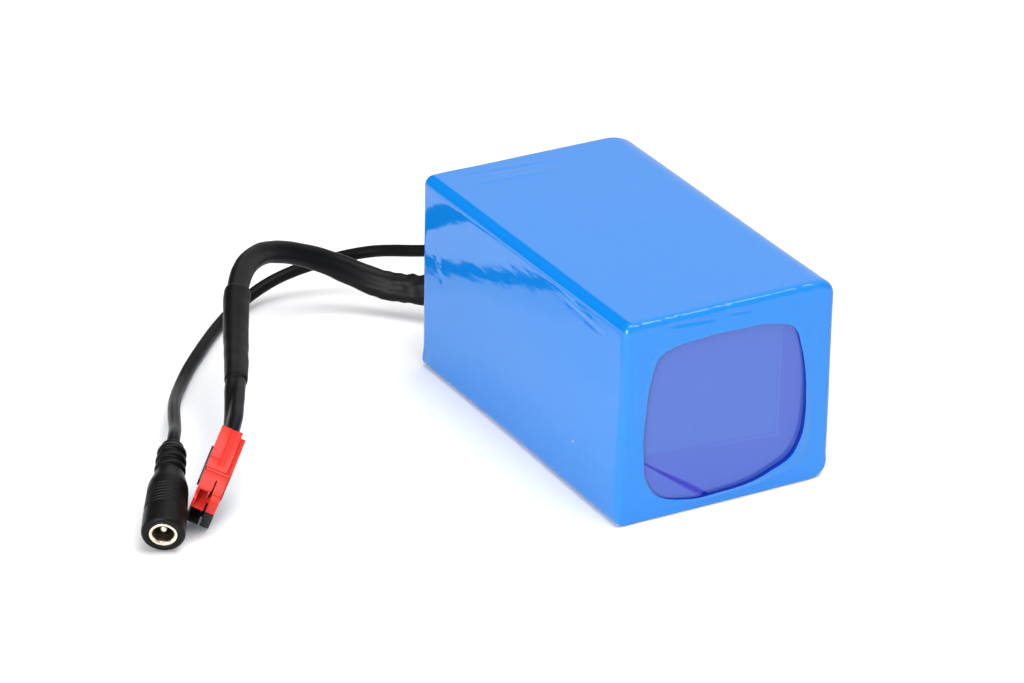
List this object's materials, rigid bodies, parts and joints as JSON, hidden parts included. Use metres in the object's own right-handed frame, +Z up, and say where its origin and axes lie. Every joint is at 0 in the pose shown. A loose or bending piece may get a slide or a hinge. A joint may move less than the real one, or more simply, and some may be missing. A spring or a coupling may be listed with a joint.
{
  "type": "wrapped lithium-ion battery pack with two leads",
  "caption": "Rectangular shrink-wrapped rechargeable battery pack with a round charging socket on one lead and a red and black flat-contact connector on the other.",
  "frame": {"origin": "middle of the wrapped pack's underside", "axes": "+X across the pack's width, +Y along its length towards the end that the leads leave, +Z up"},
  "size_m": [0.1981, 0.1842, 0.064],
  "materials": {
    "outer_film": "glossy PVC shrink film",
    "inner_film": "glossy PVC shrink film",
    "end_board": "epoxy glass sheet",
    "paper": "barley paper",
    "foam": "closed-cell foam",
    "cell": "shrink-wrapped steel can",
    "nickel": "nickel strip",
    "circuit_board": "solder mask",
    "chip": "moulded epoxy",
    "wire_red": "soft insulation",
    "wire_black": "soft insulation",
    "wire_sense": "soft insulation",
    "sleeve": "satin shrink tubing",
    "cable": "satin cable jacket",
    "socket": "moulded vinyl",
    "metal": "plated brass",
    "insulator": "moulded",
    "housing_red": "moulded polycarbonate",
    "housing_black": "moulded polycarbonate",
    "spring_steel": "stainless"
  },
  "bodies": {
    "pack": {"outer_sleeve": "outer_film", "inner_wrap": "inner_film", "front_end_board": "end_board", "rear_end_board": "end_board", "top_board": "end_board", "bottom_board": "end_board", "left_side_board": "paper", "right_side_board": "paper", "rear_spacer": "foam", "bms_board": "circuit_board", "bms_chip": "chip", "negative_link": "wire_black", "charge_cable": "cable", "discharge_sleeve": "sleeve", "discharge_wire_positive": "wire_red", "discharge_wire_negative": "wire_black", "socket_body": "socket", "socket_barrel": "metal", "socket_insulator": "insulator", "socket_pin": "metal", "housing_red": "housing_red", "housing_black": "housing_black", "leaf_spring_red": "spring_steel", "leaf_spring_black": "spring_steel", "cell_01": "cell", "cell_02": "cell", "cell_03": "cell", "cell_04": "cell", "cell_05": "cell", "cell_06": "cell", "cell_07": "cell", "cell_08": "cell", "cell_09": "cell", "cell_10": "cell", "cell_11": "cell", "cell_12": "cell", "cell_13": "cell", "cell_14": "cell", "cell_15": "cell", "cell_16": "cell", "cell_17": "cell", "cell_18": "cell", "bms_mosfet_1": "chip", "bms_mosfet_2": "chip", "bms_mosfet_3": "chip", "sense_wire_1": "wire_sense", "sense_wire_2": "wire_sense", "sense_wire_3": "wire_sense", "sense_wire_4": "wire_sense", "sense_wire_5": "wire_sense", "sense_wire_6": "wire_sense", "nickel_negative": "nickel", "nickel_left_1": "nickel", "nickel_right_1": "nickel", "nickel_left_2": "nickel", "nickel_right_2": "nickel", "nickel_left_3": "nickel", "nickel_positive": "nickel"},
    "contact_red": {"contact_red": "metal"},
    "contact_black": {"contact_black": "metal"}
  },
  "joints": [
    {"name": "red_contact_float", "type": "hinge", "parent": "pack", "child": "contact_red", "pos_m": [-0.13125, 0.00085, 0.02005], "axis": [-0.0329, -0.5649, 0.8245], "range_deg": [0, 2.5], "stiffness_Nm_per_rad": 0.2, "springref_deg": -5.73},
    {"name": "black_contact_float", "type": "hinge", "parent": "pack", "child": "contact_black", "pos_m": [-0.13099, 0.00531, 0.01354], "axis": [-0.0329, -0.5649, 0.8245], "range_deg": [0, 2.5], "stiffness_Nm_per_rad": 0.2, "springref_deg": -5.73}
  ]
}
